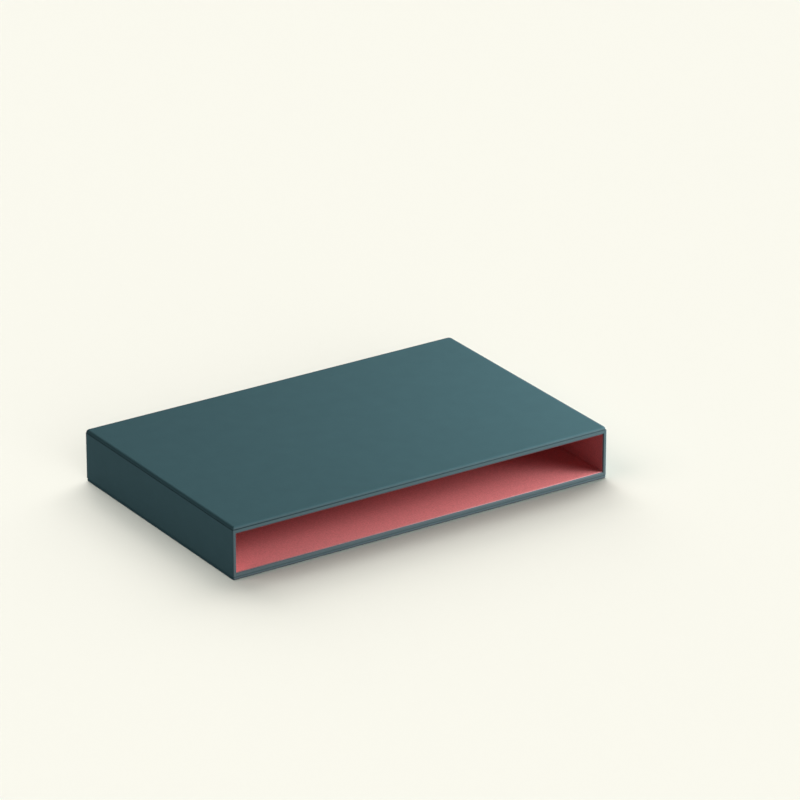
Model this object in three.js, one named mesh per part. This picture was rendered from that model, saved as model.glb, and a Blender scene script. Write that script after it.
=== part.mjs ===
// A rigid slipcase for one hardback book, lying flat with its long side open.
// Two thin cover boards lie over and under a shallow sleeve of five boards.
// Every board is wrapped in thin dark paper, and the pocket is lined with coral sheets.
// Millimetres, +Z up, +X along the open side, and the mouth of the pocket faces -Y.
// The origin is on the ground, under the middle of the case.
import * as THREE from 'three';

// Outside sizes of the whole case
const caseWidth = 228;
const caseDepth = 146;
const caseHeight = 29;

// Board thicknesses, each with the paper that wraps it
const coverBoardThickness = 1.5;
const sleeveBoardThickness = 2;
const endBoardThickness = 1.8;
const backBoardThickness = 2;

// The lining sheets, and how far they stay behind the mouth
const liningThickness = 0.4;
const liningSetback = 0.6;

// Radii of the soft edges that the wrapping paper gives
const coverFaceRadius = 1.15;
const coverCornerRadius = 2;
const seamRadius = 0.3;
const mouthRadius = 0.5;
const mouthCornerRadius = 0.6;
const backCornerRadius = 1.3;
const hiddenCornerRadius = 0.4;

// Flat steps in a quarter of a round edge, and in a round corner of an outline
const edgeSteps = 5;
const cornerSteps = 6;

// Levels from the ground up
const lowerCoverTop = coverBoardThickness;
const floorTop = lowerCoverTop + sleeveBoardThickness;
const upperCoverBottom = caseHeight - coverBoardThickness;
const ceilingBottom = upperCoverBottom - sleeveBoardThickness;

// Outside faces, and the faces of the sleeve that the lining lies on
const outerX = caseWidth / 2;
const outerY = caseDepth / 2;
const innerX = outerX - endBoardThickness;
const innerBackY = outerY - backBoardThickness;

const coverColour = new THREE.Color().setRGB(0.24, 0.36, 0.38, THREE.SRGBColorSpace);
const sleeveColour = new THREE.Color().setRGB(0.26, 0.38, 0.4, THREE.SRGBColorSpace);
const liningColour = new THREE.Color().setRGB(0.74, 0.37, 0.37, THREE.SRGBColorSpace);

const coverPaper = new THREE.MeshStandardMaterial({ color: coverColour, roughness: 0.8, metalness: 0 });
const sleevePaper = new THREE.MeshStandardMaterial({ color: sleeveColour, roughness: 0.8, metalness: 0 });
const liningSheet = new THREE.MeshStandardMaterial({ color: liningColour, roughness: 0.95, metalness: 0 });

// The share of their full size that two round edges can have when they meet on one side of a board.
function roundShare(side, first, second) {
  return Math.min(1, side / (first + second));
}

// The four corner radii of a board, made smaller together where a side is too short for two of them.
function fittedCorners(area, corners) {
  const across = area.x1 - area.x0;
  const along = area.y1 - area.y0;
  const [frontLeft, frontRight, backRight, backLeft] = corners;
  const share = Math.min(
    roundShare(across, frontLeft, frontRight),
    roundShare(along, frontRight, backRight),
    roundShare(across, backRight, backLeft),
    roundShare(along, backLeft, frontLeft),
  );
  return corners.map(radius => radius * share);
}

// One closed outline of a rectangle, drawn in by inset, with a radius of its own at each corner.
// The corners run anticlockwise: front left, front right, back right, back left.
function roundedOutline(area, corners, inset) {
  const places = [
    [area.x0, area.y0, 1, 1],
    [area.x1, area.y0, -1, 1],
    [area.x1, area.y1, -1, -1],
    [area.x0, area.y1, 1, -1],
  ];
  const points = [];
  places.forEach(([x, y, inwardX, inwardY], corner) => {
    const reach = Math.max(corners[corner], inset);
    const radius = reach - inset;
    for (let step = 0; step <= cornerSteps; step++) {
      const angle = Math.PI + (corner + step / cornerSteps) * Math.PI / 2;
      points.push([
        x + inwardX * reach + radius * Math.cos(angle),
        y + inwardY * reach + radius * Math.sin(angle),
      ]);
    }
  });
  return points;
}

// The section of a board's rim, from its underside to its upper side, as [inset, level] pairs.
function rimSection(bottom, top, lowerRadius, upperRadius) {
  const section = [];
  for (let step = 0; step <= edgeSteps; step++) {
    const angle = (step / edgeSteps) * Math.PI / 2;
    section.push([lowerRadius * (1 - Math.sin(angle)), bottom + lowerRadius * (1 - Math.cos(angle))]);
  }
  for (let step = 0; step <= edgeSteps; step++) {
    const angle = (step / edgeSteps) * Math.PI / 2;
    section.push([upperRadius * (1 - Math.cos(angle)), top - upperRadius * (1 - Math.sin(angle))]);
  }
  return section;
}

// A wrapped board: its outline carried up the section of its rim, with a flat face at each end.
function wrappedBoard(area, corners, levels, radii) {
  const [bottom, top] = levels;
  const share = roundShare(top - bottom, ...radii);
  const [lowerRadius, upperRadius] = radii.map(radius => radius * share);
  const fitted = fittedCorners(area, corners);
  const rings = rimSection(bottom, top, lowerRadius, upperRadius).map(([inset, level]) =>
    roundedOutline(area, fitted, inset).map(([x, y]) => [x, y, level]));
  const around = rings[0].length;
  const faces = [];
  for (let ring = 0; ring < rings.length - 1; ring++) {
    for (let i = 0; i < around; i++) {
      const here = ring * around + i;
      const next = ring * around + (i + 1) % around;
      faces.push(here, next, next + around);
      faces.push(here, next + around, here + around);
    }
  }
  const last = (rings.length - 1) * around;
  for (let i = 1; i < around - 1; i++) {
    faces.push(0, i + 1, i);
    faces.push(last, last + i, last + i + 1);
  }
  const geometry = new THREE.BufferGeometry();
  geometry.setAttribute('position', new THREE.Float32BufferAttribute(rings.flat(2), 3));
  geometry.setIndex(faces);
  geometry.computeVertexNormals();
  return geometry;
}

// A sheet cut square, given by its lowest and highest corners.
function cutSheet(low, high) {
  const size = high.map((value, axis) => value - low[axis]);
  const geometry = new THREE.BoxGeometry(...size);
  geometry.translate(...low.map((value, axis) => value + size[axis] / 2));
  return geometry;
}

function named(name, geometry, material) {
  const mesh = new THREE.Mesh(geometry, material);
  mesh.name = name;
  return mesh;
}

// The two cover boards have the full outline. They are round on the outer face and square at the seam.
function coverBoards() {
  const area = { x0: -outerX, x1: outerX, y0: -outerY, y1: outerY };
  const corners = Array(4).fill(coverCornerRadius);
  const lowerLevels = [0, lowerCoverTop];
  const upperLevels = [upperCoverBottom, caseHeight];
  const lower = wrappedBoard(area, corners, lowerLevels, [coverFaceRadius, seamRadius]);
  const upper = wrappedBoard(area, corners, upperLevels, [seamRadius, coverFaceRadius]);
  return [
    named('lower_cover_board', lower, coverPaper),
    named('upper_cover_board', upper, coverPaper),
  ];
}

// Floor and ceiling of the sleeve lie between the end boards, from the mouth to the back board.
function floorAndCeiling() {
  const area = { x0: -innerX, x1: innerX, y0: -outerY, y1: innerBackY };
  const corners = Array(4).fill(mouthCornerRadius);
  const floor = wrappedBoard(area, corners, [lowerCoverTop, floorTop], [seamRadius, mouthRadius]);
  const ceiling = wrappedBoard(area, corners, [ceilingBottom, upperCoverBottom], [mouthRadius, seamRadius]);
  return [
    named('floor_board', floor, sleevePaper),
    named('ceiling_board', ceiling, sleevePaper),
  ];
}

// End boards have the full depth, between the cover boards, and are round at the outer back corner.
function endBoards() {
  const levels = [lowerCoverTop, upperCoverBottom];
  const radii = [seamRadius, seamRadius];
  const leftArea = { x0: -outerX, x1: -innerX, y0: -outerY, y1: outerY };
  const rightArea = { x0: innerX, x1: outerX, y0: -outerY, y1: outerY };
  const leftCorners = [mouthCornerRadius, mouthCornerRadius, hiddenCornerRadius, backCornerRadius];
  const rightCorners = [mouthCornerRadius, mouthCornerRadius, backCornerRadius, hiddenCornerRadius];
  return [
    named('left_end_board', wrappedBoard(leftArea, leftCorners, levels, radii), sleevePaper),
    named('right_end_board', wrappedBoard(rightArea, rightCorners, levels, radii), sleevePaper),
  ];
}

// The back board closes the sleeve between the end boards.
function backBoard() {
  const area = { x0: -innerX, x1: innerX, y0: innerBackY, y1: outerY };
  const corners = Array(4).fill(hiddenCornerRadius);
  const levels = [lowerCoverTop, upperCoverBottom];
  return [named('back_board', wrappedBoard(area, corners, levels, [seamRadius, seamRadius]), sleevePaper)];
}

// Five lining sheets: floor and ceiling first, then the back, then the ends in front of it.
function liningSheets() {
  const frontY = -outerY + liningSetback;
  const backY = innerBackY - liningThickness;
  const sideX = innerX - liningThickness;
  const low = floorTop + liningThickness;
  const high = ceilingBottom - liningThickness;
  const floor = cutSheet([-innerX, frontY, floorTop], [innerX, innerBackY, low]);
  const ceiling = cutSheet([-innerX, frontY, high], [innerX, innerBackY, ceilingBottom]);
  const back = cutSheet([-innerX, backY, low], [innerX, innerBackY, high]);
  const leftEnd = cutSheet([-innerX, frontY, low], [-sideX, backY, high]);
  const rightEnd = cutSheet([sideX, frontY, low], [innerX, backY, high]);
  return [
    named('floor_lining', floor, liningSheet),
    named('ceiling_lining', ceiling, liningSheet),
    named('back_lining', back, liningSheet),
    named('left_end_lining', leftEnd, liningSheet),
    named('right_end_lining', rightEnd, liningSheet),
  ];
}

const slipcase = new THREE.Group();
slipcase.name = 'slipcase';
slipcase.add(...coverBoards(), ...floorAndCeiling(), ...endBoards(), ...backBoard(), ...liningSheets());

export default slipcase;
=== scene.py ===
import math
import bpy
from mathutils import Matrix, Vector


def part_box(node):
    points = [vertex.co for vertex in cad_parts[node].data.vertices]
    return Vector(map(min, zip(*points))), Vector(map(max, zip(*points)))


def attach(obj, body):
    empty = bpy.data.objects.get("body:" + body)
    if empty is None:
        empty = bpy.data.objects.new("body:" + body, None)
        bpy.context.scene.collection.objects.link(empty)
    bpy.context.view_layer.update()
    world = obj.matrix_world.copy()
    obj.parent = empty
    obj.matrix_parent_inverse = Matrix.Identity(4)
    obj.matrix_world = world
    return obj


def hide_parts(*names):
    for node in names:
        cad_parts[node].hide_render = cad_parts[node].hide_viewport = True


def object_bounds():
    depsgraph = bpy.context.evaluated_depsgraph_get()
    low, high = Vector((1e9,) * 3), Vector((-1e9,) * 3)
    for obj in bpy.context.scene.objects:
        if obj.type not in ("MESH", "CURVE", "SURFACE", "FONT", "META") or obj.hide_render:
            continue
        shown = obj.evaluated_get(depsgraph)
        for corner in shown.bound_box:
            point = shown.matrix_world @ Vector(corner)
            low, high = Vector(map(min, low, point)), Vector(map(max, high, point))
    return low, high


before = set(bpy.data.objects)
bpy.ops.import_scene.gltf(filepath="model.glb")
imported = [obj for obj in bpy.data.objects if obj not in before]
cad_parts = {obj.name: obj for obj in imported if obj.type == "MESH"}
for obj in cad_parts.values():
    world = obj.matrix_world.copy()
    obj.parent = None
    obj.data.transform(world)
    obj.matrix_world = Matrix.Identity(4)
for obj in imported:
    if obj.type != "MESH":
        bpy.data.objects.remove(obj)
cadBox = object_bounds()
print("frame loaded with", len(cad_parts), "nodes")

mm = 0.001
quarterTurn = math.pi / 2
frontFace = cadBox[0][1]


# small helpers for node trees

def addNode(tree, kind, inputs=None, **settings):
    node = tree.nodes.new(kind)
    for name, value in settings.items():
        setattr(node, name, value)
    for name, value in (inputs or {}).items():
        setSocket(tree, node.inputs[name], value)
    return node


def setSocket(tree, socket, value):
    if isinstance(value, bpy.types.NodeSocket):
        tree.links.new(value, socket)
    else:
        socket.default_value = value


def calc(tree, operation, *values):
    node = addNode(tree, "ShaderNodeMath", operation=operation)
    for socket, value in zip(node.inputs, values):
        setSocket(tree, socket, value)
    return node.outputs[0]


def separate(tree, vector):
    return addNode(tree, "ShaderNodeSeparateXYZ", {"Vector": vector}).outputs


# A wrapped board: paper over grey board. The section of its rim is carried round its outline,
# and both flat sides run in to a ridge line in the middle, so the board is one closed skin.

boardInputs = {
    "Lowest Corner": "Vector", "Highest Corner": "Vector",
    "Front Left Radius": "Float", "Front Right Radius": "Float",
    "Back Right Radius": "Float", "Back Left Radius": "Float",
    "Lower Edge Radius": "Float", "Upper Edge Radius": "Float", "Side Softness": "Float",
    "Corner Steps": "Int", "Edge Steps": "Int", "Paper": "Material",
}
weldDistance = 0.001 * mm
flatSide = 0.9999  # a normal with a part larger than this belongs to a flat side


def makeBoardTree():
    tree = bpy.data.node_groups.new("wrappedBoard", "GeometryNodeTree")
    for label, kind in boardInputs.items():
        tree.interface.new_socket(label, in_out="INPUT", socket_type="NodeSocket" + kind)
    tree.interface.new_socket("Geometry", in_out="OUTPUT", socket_type="NodeSocketGeometry")
    given = addNode(tree, "NodeGroupInput").outputs
    low = separate(tree, given["Lowest Corner"])
    high = separate(tree, given["Highest Corner"])
    wide, deep, thick = [calc(tree, "SUBTRACT", high[axis], low[axis]) for axis in "XYZ"]
    ridge = calc(tree, "MULTIPLY", calc(tree, "MINIMUM", wide, deep), 0.5)
    lowerRadius, upperRadius = given["Lower Edge Radius"], given["Upper Edge Radius"]
    upperStart = calc(tree, "SUBTRACT", thick, upperRadius)

    # the section, with the inset from the outline along X and the level above the underside along Y
    def point(x, y):
        return addNode(tree, "ShaderNodeCombineXYZ", {"X": x, "Y": y}).outputs[0]

    def line(start, end):
        return addNode(tree, "GeometryNodeCurvePrimitiveLine", {"Start": start, "End": end}).outputs[0]

    def roundEdge(radius, startAngle, centre):
        steps = calc(tree, "ADD", given["Edge Steps"], 1)
        arc = addNode(tree, "GeometryNodeCurveArc", {
            "Resolution": steps, "Radius": radius, "Start Angle": startAngle,
            "Sweep Angle": -quarterTurn})
        return addNode(tree, "GeometryNodeTransform", {
            "Geometry": arc.outputs["Curve"], "Translation": centre}).outputs[0]

    section = addNode(tree, "GeometryNodeJoinGeometry")
    for part in (
        line(point(ridge, 0), point(lowerRadius, 0)),
        roundEdge(lowerRadius, -quarterTurn, point(lowerRadius, lowerRadius)),
        line(point(0, lowerRadius), point(0, upperStart)),
        roundEdge(upperRadius, math.pi, point(upperRadius, upperStart)),
        line(point(upperRadius, thick), point(ridge, thick)),
    ):
        tree.links.new(part, section.inputs[0])

    # the outline: every corner has one point more than it has steps
    perCorner = calc(tree, "ADD", given["Corner Steps"], 1)
    ring = addNode(tree, "GeometryNodeCurvePrimitiveCircle", {
        "Resolution": calc(tree, "MULTIPLY", perCorner, 4)})

    def keep(geometry, kind, value):
        node = addNode(tree, "GeometryNodeCaptureAttribute", {"Geometry": geometry})
        node.capture_items.new(kind, "kept")
        tree.links.new(value, node.inputs[1])
        return node.outputs[0], node.outputs[1]

    index = addNode(tree, "GeometryNodeInputIndex").outputs[0]
    position = addNode(tree, "GeometryNodeInputPosition").outputs[0]
    ringKept, place = keep(ring.outputs["Curve"], "INT", index)
    sectionKept, rim = keep(section.outputs[0], "VECTOR", position)
    skin = addNode(tree, "GeometryNodeCurveToMesh", {"Curve": ringKept, "Profile Curve": sectionKept})

    corner = calc(tree, "FLOOR", calc(tree, "DIVIDE", place, perCorner))
    step = calc(tree, "FLOORED_MODULO", place, perCorner)
    turn = calc(tree, "ADD", corner, calc(tree, "DIVIDE", step, given["Corner Steps"]))
    angle = calc(tree, "MULTIPLY_ADD", turn, quarterTurn, math.pi)
    middle = calc(tree, "MULTIPLY_ADD", calc(tree, "ADD", corner, 0.5), quarterTurn, math.pi)
    cornerRadius = addNode(tree, "GeometryNodeIndexSwitch", data_type="FLOAT")
    cornerRadius.index_switch_items.new()
    cornerRadius.index_switch_items.new()
    tree.links.new(corner, cornerRadius.inputs[0])
    for number, name in enumerate(("Front Left", "Front Right", "Back Right", "Back Left")):
        tree.links.new(given[name + " Radius"], cornerRadius.inputs[number + 1])

    rimParts = separate(tree, rim)
    inset, level = rimParts["X"], rimParts["Y"]
    reach = calc(tree, "MAXIMUM", cornerRadius.outputs[0], inset)
    bend = calc(tree, "SUBTRACT", reach, inset)

    # the wrapped left and right edges are drawn out flatter than the front and back ones
    alongEdge = calc(tree, "MINIMUM", calc(tree, "DIVIDE", inset, upperRadius), 1)
    drawnOut = calc(tree, "MULTIPLY", given["Side Softness"], alongEdge)

    def across(lowEdge, span, trig, extra):
        half = calc(tree, "MULTIPLY", span, 0.5)
        outward = calc(tree, "SIGN", calc(tree, trig, middle))
        edge = calc(tree, "MULTIPLY_ADD", outward, half, calc(tree, "ADD", lowEdge, half))
        depth = calc(tree, "ADD", reach, extra)
        centre = calc(tree, "SUBTRACT", edge, calc(tree, "MULTIPLY", outward, depth))
        return calc(tree, "ADD", centre, calc(tree, "MULTIPLY", bend, calc(tree, trig, angle)))

    spot = addNode(tree, "ShaderNodeCombineXYZ", {
        "X": across(low["X"], wide, "COSINE", drawnOut), "Y": across(low["Y"], deep, "SINE", 0),
        "Z": calc(tree, "ADD", low["Z"], level)})
    placed = addNode(tree, "GeometryNodeSetPosition", {
        "Geometry": skin.outputs[0], "Position": spot.outputs[0]})
    merged = addNode(tree, "GeometryNodeMergeByDistance", {
        "Geometry": placed.outputs[0], "Distance": weldDistance})

    # only the round edges are shaded smooth: a flat side keeps its own flat shade
    normal = separate(tree, addNode(tree, "GeometryNodeInputNormal").outputs[0])
    x, y, z = [calc(tree, "ABSOLUTE", normal[axis]) for axis in "XYZ"]
    largest = calc(tree, "MAXIMUM", calc(tree, "MAXIMUM", x, y), z)
    shaded = addNode(tree, "GeometryNodeSetShadeSmooth", {
        "Geometry": merged.outputs[0], "Shade Smooth": calc(tree, "LESS_THAN", largest, flatSide)})
    real = addNode(tree, "GeometryNodeRealizeInstances", {"Geometry": shaded.outputs[0]})
    papered = addNode(tree, "GeometryNodeSetMaterial", {
        "Geometry": real.outputs[0], "Material": given["Paper"]})
    addNode(tree, "NodeGroupOutput", {"Geometry": papered.outputs[0]})
    return tree


def growFromTree(name, tree, values):
    start = bpy.data.meshes.new(name)
    piece = bpy.data.objects.new(name, start)
    bpy.context.scene.collection.objects.link(piece)
    modifier = piece.modifiers.new(name, "NODES")
    modifier.node_group = tree
    for item in tree.interface.items_tree:
        if item.in_out == "INPUT":
            modifier[item.identifier] = values[item.name]
    evaluated = piece.evaluated_get(bpy.context.evaluated_depsgraph_get())
    grown = bpy.data.meshes.new_from_object(evaluated)
    piece.modifiers.remove(modifier)
    piece.data = grown
    grown.name = name
    bpy.data.meshes.remove(start)
    return piece


# Papers. Object coordinates are turned into millimetres, so every scale below is per millimetre.

def newMaterial(name):
    material = bpy.data.materials.new(name)
    material.use_nodes = True
    material.node_tree.nodes.clear()
    return material, material.node_tree


def inMillimetres(tree, turn=(0, 0, 0), stretch=(1, 1, 1)):
    place = addNode(tree, "ShaderNodeTexCoord").outputs["Object"]
    scale = [1 / mm * share for share in stretch]
    return addNode(tree, "ShaderNodeMapping", {
        "Vector": place, "Rotation": turn, "Scale": scale}).outputs[0]


def noise(tree, given, turn=(0, 0, 0)):
    return addNode(tree, "ShaderNodeTexNoise", {
        "Vector": inMillimetres(tree, turn, given.get("stretch", (1, 1, 1))),
        "Scale": given["scale"], "Detail": given["detail"],
        "Roughness": given.get("roughness", 0.5)}).outputs["Fac"]


# a noise value as a swing round the number given
def swing(tree, value, amount, start):
    return calc(tree, "MULTIPLY_ADD", calc(tree, "SUBTRACT", value, 0.5), amount, start)


def fade(tree, value, start, end, first=0.0, last=1.0):
    return addNode(tree, "ShaderNodeMapRange", {
        "Value": value, "From Min": start, "From Max": end,
        "To Min": first, "To Max": last}).outputs["Result"]


# 1 at the mouth of the pocket, 0 from the given depth on, in millimetres
def nearMouth(tree, depth):
    front = frontFace / mm
    return fade(tree, separate(tree, inMillimetres(tree))["Y"], front + depth, front)


def mixColours(tree, share, first, second):
    return addNode(tree, "ShaderNodeMix", {
        "Factor": share, "A": (*first, 1), "B": (*second, 1)}, data_type="RGBA").outputs["Result"]


def addSurface(tree, v, ground, share, height, roughness):
    base = addNode(tree, "ShaderNodeVectorMath", {0: ground, "Scale": share}, operation="SCALE")
    bump = addNode(tree, "ShaderNodeBump", {
        "Strength": v["bump"], "Distance": v["bumpDepth"], "Height": height})
    shader = addNode(tree, "ShaderNodeBsdfPrincipled", {
        "Base Color": base.outputs[0], "Roughness": roughness, "Normal": bump.outputs[0],
        **v["surface"]})
    addNode(tree, "ShaderNodeOutputMaterial", {"Surface": shader.outputs[0]})


boardPaper = {
    # the cover colour is the sleeve's teal made darker, as painted shade on the covers
    "cover": (0.070, 0.149, 0.169), "sleeve": (0.083, 0.168, 0.188),
    # painted sheen: a pale colour on the board faces at the mouth, strongest near the table
    "sheenPaint": (0.42, 0.33, 0.32), "sheenPaintDepth": 0.5,
    "sheenPaintLow": 0.17, "sheenPaintHigh": 0.09, "sheenPaintLevels": (3.0, 24.0),
    # painted shade along the joints: how far it reaches and how dark it is at each
    "jointHeight": 0.55, "jointShades": (0.1, 0.42),  # lower joint, upper joint
    "mottle": {"scale": 0.11, "detail": 3, "amount": 0.10},
    "fibre": {"scale": 0.55, "detail": 4, "roughness": 0.6, "stretch": (0.35, 2.4, 2.4), "amount": 0.10},
    "fibreTurns": ((0, 0, 0.35), (0.4, 0.9, -0.5)),
    "grain": {"scale": 2.2, "detail": 2, "roughness": 0.6, "amount": 0.10},
    "roughness": 0.7, "roughnessSwing": 0.15,
    "surface": {"Specular IOR Level": 0.03},
    "bump": 0.35, "bumpDepth": 0.06 * mm, "bumpShares": (0.6, 0.4),  # fibre, grain
}
jointLevels = [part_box("lower_cover_board")[1][2] / mm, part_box("upper_cover_board")[0][2] / mm]


# painted shade: the paper is darkened along the joints between the covers and the sleeve, where the
# grooves lie in shade
def jointShade(tree, v):
    level = separate(tree, inMillimetres(tree))["Z"]
    shades = []
    for joint, dark in zip(jointLevels, v["jointShades"]):
        away = calc(tree, "ABSOLUTE", calc(tree, "SUBTRACT", level, joint))
        shades.append(fade(tree, away, v["jointHeight"], 0.0, 1.0, 1 - dark))
    return calc(tree, "MULTIPLY", *shades)


# painted sheen: the board faces and edges round the mouth are painted a little paler, most of all near
# the table
def paintedSheen(tree, colour, v):
    level = separate(tree, inMillimetres(tree))["Z"]
    byLevel = fade(tree, level, *v["sheenPaintLevels"], v["sheenPaintLow"], v["sheenPaintHigh"])
    share = calc(tree, "MULTIPLY", nearMouth(tree, v["sheenPaintDepth"]), byLevel)
    return mixColours(tree, share, colour, v["sheenPaint"])


def makeBoardPaper(name, colour):
    material, tree = newMaterial(name)
    v = boardPaper
    strands = [noise(tree, v["fibre"], turn) for turn in v["fibreTurns"]]
    fibre = calc(tree, "MULTIPLY", calc(tree, "ADD", *strands), 0.5)
    grain = noise(tree, v["grain"])
    share = swing(tree, noise(tree, v["mottle"]), v["mottle"]["amount"], 1)
    share = swing(tree, fibre, v["fibre"]["amount"], share)
    share = swing(tree, grain, v["grain"]["amount"], share)
    # painted shade along the joints
    share = calc(tree, "MULTIPLY", share, jointShade(tree, v))
    fibreShare, grainShare = v["bumpShares"]
    height = calc(tree, "MULTIPLY_ADD", grain, grainShare, calc(tree, "MULTIPLY", fibre, fibreShare))
    roughness = swing(tree, fibre, v["roughnessSwing"], v["roughness"])
    # the faces at the mouth get the painted sheen
    addSurface(tree, v, paintedSheen(tree, colour, v), share, height, roughness)
    return material


liningFelt = {
    "colour": (0.72, 0.208, 0.213),
    "lipDepth": 1.5, "lipTurn": (-0.15, -0.75),  # how far the felt's normal turns to -Y at the lip
    # painted lips: the pale one is partly the felt's paler cut edge and partly a painted highlight, the
    # dark one is painted shade
    "cutEdgeHighlightLip": (0.47, 0.315, 0.33), "cutEdgeHighlightFade": 0.7,
    "paintedShadeLip": (0.32, 0.20, 0.21), "paintedShadeFade": 0.05,
    "mottle": {"scale": 0.09, "detail": 3, "amount": 0.08},
    "grain": {"scale": 1.2, "detail": 3, "roughness": 0.65, "amount": 0.62},
    "nap": {"scale": 2.6, "detail": 2, "amount": 0.40}, "napTurn": (0.5, 0.2, 0.7),
    "roughness": 0.95,
    "surface": {"Specular IOR Level": 0.0, "Sheen Weight": 0.08, "Sheen Roughness": 0.6},
    "bump": 0.5, "bumpDepth": 0.18 * mm, "bumpShares": (0.7, 0.3),  # grain, nap
}


def makeLiningFelt(name, lipColour, lipFade):
    material, tree = newMaterial(name)
    v = liningFelt
    grain = noise(tree, v["grain"])
    nap = noise(tree, v["nap"], v["napTurn"])
    share = swing(tree, noise(tree, v["mottle"]), v["mottle"]["amount"], 1)
    share = swing(tree, grain, v["grain"]["amount"], share)
    share = swing(tree, nap, v["nap"]["amount"], share)
    normal = addNode(tree, "ShaderNodeNewGeometry").outputs["Normal"]
    outward = fade(tree, separate(tree, normal)["Y"], *v["lipTurn"])
    atMouth = calc(tree, "GREATER_THAN", nearMouth(tree, v["lipDepth"]), 0)
    lip = calc(tree, "MAXIMUM", calc(tree, "MULTIPLY", outward, atMouth), nearMouth(tree, lipFade))
    grainShare, napShare = v["bumpShares"]
    height = calc(tree, "MULTIPLY_ADD", nap, napShare, calc(tree, "MULTIPLY", grain, grainShare))
    ground = mixColours(tree, lip, v["colour"], lipColour)
    addSurface(tree, v, ground, share, height, v["roughness"])
    return material


# the covers' paper is a darker copy of the sleeve's, as painted shade
shadedCoverPaper = makeBoardPaper("tealCoverPaperShaded", boardPaper["cover"])
sleevePaper = makeBoardPaper("tealSleevePaper", boardPaper["sleeve"])
# two copies of the felt: one with a pale lip (partly painted highlight), one with a darker lip (painted
# shade)
feltWithHighlightLip = makeLiningFelt("coralFelt", liningFelt["cutEdgeHighlightLip"], liningFelt["cutEdgeHighlightFade"])
feltWithShadedLip = makeLiningFelt("coralFeltShadedLip", liningFelt["paintedShadeLip"], liningFelt["paintedShadeFade"])
print("papers and felt ready")


# The seven boards and five felt sheets stand where the frame has them. Sizes are in millimetres.
# Corner radii run front left, front right, back right, back left; edge radii are lower, upper.
# A cover's softness is how far its side edges are drawn out.

boards = {
    "lower_cover_board": {
        "piece": "lowerCover", "paper": shadedCoverPaper, "slot": "cover_paper",
        "corners": (0.8, 1, 2, 2), "edges": (0.5, 0.45), "softness": 0.3},
    "upper_cover_board": {
        "piece": "upperCover", "paper": shadedCoverPaper, "slot": "cover_paper",
        "corners": (1, 2.4, 2, 2), "edges": (0.45, 1.15), "softness": 0.8},
    "floor_board": {
        "piece": "pocketFloor", "paper": sleevePaper, "slot": "sleeve_paper",
        "corners": (0.08, 0.08, 0.4, 0.4), "edges": (0.45, 0.4)},
    "ceiling_board": {
        "piece": "pocketCeiling", "paper": sleevePaper, "slot": "sleeve_paper",
        "corners": (0.08, 0.08, 0.4, 0.4), "edges": (0.4, 0.45)},
    "left_end_board": {
        "piece": "leftEnd", "paper": sleevePaper, "slot": "sleeve_paper",
        "corners": (0.6, 0.08, 0.4, 1.3), "edges": (0.45, 0.45)},
    "right_end_board": {
        "piece": "rightEnd", "paper": sleevePaper, "slot": "sleeve_paper",
        "corners": (0.08, 0.6, 1.3, 0.4), "edges": (0.45, 0.45)},
    "back_board": {
        "piece": "pocketBack", "paper": sleevePaper, "slot": "sleeve_paper",
        "corners": (0.4, 0.4, 0.4, 0.4), "edges": (0.45, 0.45)},
}

# The felt is cut square. At the mouth it has a soft lip. On the floor and left sheets the lip is painted
# pale, partly the felt's paler cut edge and partly a painted highlight; on the ceiling, right and back
# sheets it is painted darker, as painted shade.
crisp, slight, feltLip = 0.02, 0.1, 0.34
feltSheets = {
    "floor_lining": {
        "piece": "floorFelt", "paper": feltWithHighlightLip, "slot": "lining_sheet",
        "corners": (crisp, crisp, crisp, crisp), "edges": (crisp, feltLip)},
    "ceiling_lining": {
        "piece": "ceilingFelt", "paper": feltWithShadedLip, "slot": "lining_sheet",
        "corners": (crisp, crisp, crisp, crisp), "edges": (slight, crisp)},
    "left_end_lining": {
        "piece": "leftFelt", "paper": feltWithHighlightLip, "slot": "lining_sheet",
        "corners": (crisp, feltLip, crisp, crisp), "edges": (crisp, crisp)},
    "right_end_lining": {
        "piece": "rightFelt", "paper": feltWithShadedLip, "slot": "lining_sheet",
        "corners": (slight, crisp, crisp, crisp), "edges": (crisp, crisp)},
    "back_lining": {
        "piece": "backFelt", "paper": feltWithShadedLip, "slot": "lining_sheet",
        "corners": (crisp, crisp, crisp, crisp), "edges": (crisp, crisp)},
}
roundSteps = {"corner": 10, "edge": 8}


def makeSheet(tree, node, given):
    low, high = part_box(node)
    corners = [radius * mm for radius in given["corners"]]
    lowerEdge, upperEdge = [radius * mm for radius in given["edges"]]
    piece = growFromTree(given["piece"], tree, {
        "Lowest Corner": low, "Highest Corner": high,
        "Front Left Radius": corners[0], "Front Right Radius": corners[1],
        "Back Right Radius": corners[2], "Back Left Radius": corners[3],
        "Lower Edge Radius": lowerEdge, "Upper Edge Radius": upperEdge,
        "Side Softness": given.get("softness", 0.0) * mm,
        "Corner Steps": roundSteps["corner"], "Edge Steps": roundSteps["edge"],
        "Paper": given["paper"],
    })
    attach(piece, "root")
    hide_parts(node)
    return piece


boardTree = makeBoardTree()
pieces = [makeSheet(boardTree, node, board) for node, board in boards.items()]
print("boards wrapped:", len(boards))
pieces += [makeSheet(boardTree, node, sheet) for node, sheet in feltSheets.items()]
print("pocket lined with", len(feltSheets), "sheets")


# Floor, world, lamps and camera

studio = {
    "background": (0.930, 0.930, 0.839),
    "floorBounce": (0.355, 0.365, 0.375), "floorSize": 12.0,
    "redKept": 0.65, "lampRed": 1.6,  # the floor takes less red, and its own lamps make up for it
    "worldLight": (1.0, 1.0, 1.0), "worldStrength": 0.08,
}


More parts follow.
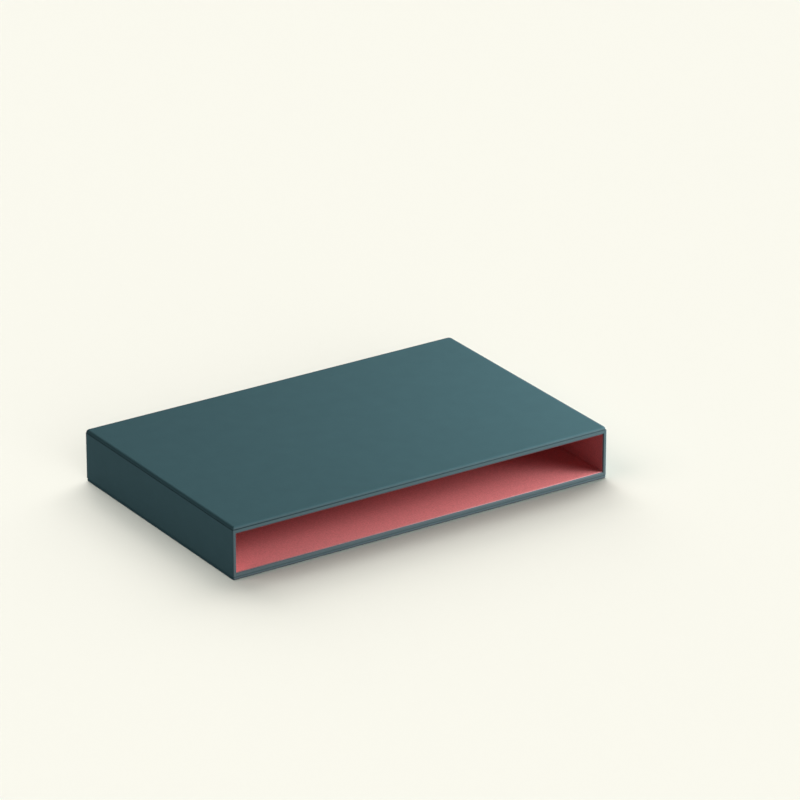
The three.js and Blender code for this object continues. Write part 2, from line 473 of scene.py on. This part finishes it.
# the camera, gloss and clear things see the pale background, other rays the plain light
def paleForCamera(tree, plain, pale):
    path = addNode(tree, "ShaderNodeLightPath").outputs
    seen = calc(tree, "MAXIMUM", path["Is Camera Ray"], path["Is Glossy Ray"])
    seen = calc(tree, "MAXIMUM", seen, path["Is Transmission Ray"])
    return addNode(tree, "ShaderNodeMixShader", {
        0: seen, 1: plain.outputs[0], 2: pale.outputs[0]}).outputs[0]


def layFloor():
    half = studio["floorSize"] / 2
    corners = [(-half, -half, 0), (half, -half, 0), (half, half, 0), (-half, half, 0)]
    mesh = bpy.data.meshes.new("studioFloor")
    mesh.from_pydata(corners, [], [(0, 1, 2, 3)])
    floor = bpy.data.objects.new("studioFloor", mesh)
    bpy.context.scene.collection.objects.link(floor)
    material, tree = newMaterial("paleFloor")

    def diffuse(colour):
        red, green, blue = colour
        return addNode(tree, "ShaderNodeBsdfDiffuse", {
            "Color": (red * studio["redKept"], green, blue, 1)})

    surface = paleForCamera(tree, diffuse(studio["floorBounce"]), diffuse(studio["background"]))
    addNode(tree, "ShaderNodeOutputMaterial", {"Surface": surface})
    mesh.materials.append(material)
    return floor


def lightWorld():
    world = bpy.data.worlds.new("paleWorld")
    world.use_nodes = True
    tree = world.node_tree
    tree.nodes.clear()
    light = addNode(tree, "ShaderNodeBackground", {
        "Color": (*studio["worldLight"], 1), "Strength": studio["worldStrength"]})
    pale = addNode(tree, "ShaderNodeBackground", {
        "Color": (*studio["background"], 1), "Strength": 1.0})
    addNode(tree, "ShaderNodeOutputWorld", {"Surface": paleForCamera(tree, light, pale)})
    bpy.context.scene.world = world


# azimuth is where a lamp stands, from +X towards +Y; elevation is above the floor, both in degrees.
# level is the light on a surface that faces the lamp: at 1 a colour shows as it is written.
# A lamp with a size is a panel that stands close, one with a spread is a sun. Each lamp lights
# the case or the floor, so that the floor's shadow is set apart from the light on the case.

caseLamps = {
    "rightPanel": {"azimuth": -15, "elevation": 25, "distance": 0.5, "size": 0.3, "level": 0.70},
    "keyPanel": {"azimuth": -40, "elevation": 25, "distance": 0.78, "size": 0.5, "level": 0.45},
    "keySun": {"azimuth": -37, "elevation": 24, "spread": 22, "level": 0.43},
    "leftSun": {"azimuth": 165, "elevation": 25, "spread": 40, "level": 0.075},
    "backPanel": {"azimuth": 50, "elevation": 25, "distance": 0.6, "size": 0.3, "level": 0.03},
    "fillSun": {"azimuth": -115, "elevation": 24, "spread": 20, "level": 0.03, "shadow": False},
}
floorLamps = {
    "floorFront": {"azimuth": -100, "elevation": 20, "spread": 42, "level": 0.41},
    "floorLeft": {"azimuth": 165, "elevation": 46, "spread": 40, "level": 0.255},
    "floorRightLow": {"azimuth": 30, "elevation": 25, "spread": 40, "level": 0.27},
    "floorRightHigh": {"azimuth": 30, "elevation": 50, "spread": 40, "level": 0.195},
    "floorBackLow": {"azimuth": 75, "elevation": 25, "spread": 40, "level": 0.455},
    "floorBackHigh": {"azimuth": 75, "elevation": 50, "spread": 40, "level": 0.215},
}
lampAim = (0, 0, 0.02)
sunDistance = 2.0


def standAt(holder, aim, away, distance):
    holder.location = Vector(aim) + away * distance
    holder.rotation_mode = "QUATERNION"
    holder.rotation_quaternion = away.to_track_quat("Z", "Y")


def makeLamp(name, lamp):
    if "size" in lamp:
        light = bpy.data.lights.new(name, "AREA")
        light.shape = "DISK"
        light.size = lamp["size"]
        light.energy = lamp["level"] * (math.pi * lamp["distance"]) ** 2
    else:
        light = bpy.data.lights.new(name, "SUN")
        light.angle = math.radians(lamp["spread"])
        light.energy = lamp["level"] * math.pi
    light.use_shadow = lamp.get("shadow", True)
    return light


def hangLamps(lamps, receivers, colour):
    group = bpy.data.collections.new("lit" + next(iter(lamps)))
    for receiver in receivers:
        group.objects.link(receiver)
    for name, lamp in lamps.items():
        light = makeLamp(name, lamp)
        light.color = colour
        holder = bpy.data.objects.new(name, light)
        bpy.context.scene.collection.objects.link(holder)
        a, e = math.radians(lamp["azimuth"]), math.radians(lamp["elevation"])
        away = Vector((math.cos(a) * math.cos(e), math.sin(a) * math.cos(e), math.sin(e)))
        standAt(holder, lampAim, away, lamp.get("distance", sunDistance))
        holder.light_linking.receiver_collection = group


camera = {
    "azimuth": -33.313, "elevation": 23.377, "distance": 2.7637,
    "lens": 233.8, "sensor": 36, "clip": (0.1, 100),
    "aim": (0.06167, 0.0429, 0.01472),
}


def setCamera():
    data = bpy.data.cameras.new("photoCamera")
    data.lens = camera["lens"]
    data.sensor_width = camera["sensor"]
    data.clip_start, data.clip_end = camera["clip"]
    holder = bpy.data.objects.new("photoCamera", data)
    bpy.context.scene.collection.objects.link(holder)
    a, e = math.radians(camera["azimuth"]), math.radians(camera["elevation"])
    back = Vector((math.sin(a) * math.cos(e), -math.cos(a) * math.cos(e), math.sin(e)))
    standAt(holder, camera["aim"], back, camera["distance"])
    bpy.context.scene.camera = holder


lightWorld()
hangLamps(caseLamps, pieces, (1, 1, 1))
hangLamps(floorLamps, [layFloor()], (studio["lampRed"], 1, 1))
print("lamps hung:", len(caseLamps) + len(floorLamps))
setCamera()
bpy.context.scene.view_settings.view_transform = "Standard"
print("studio ready")
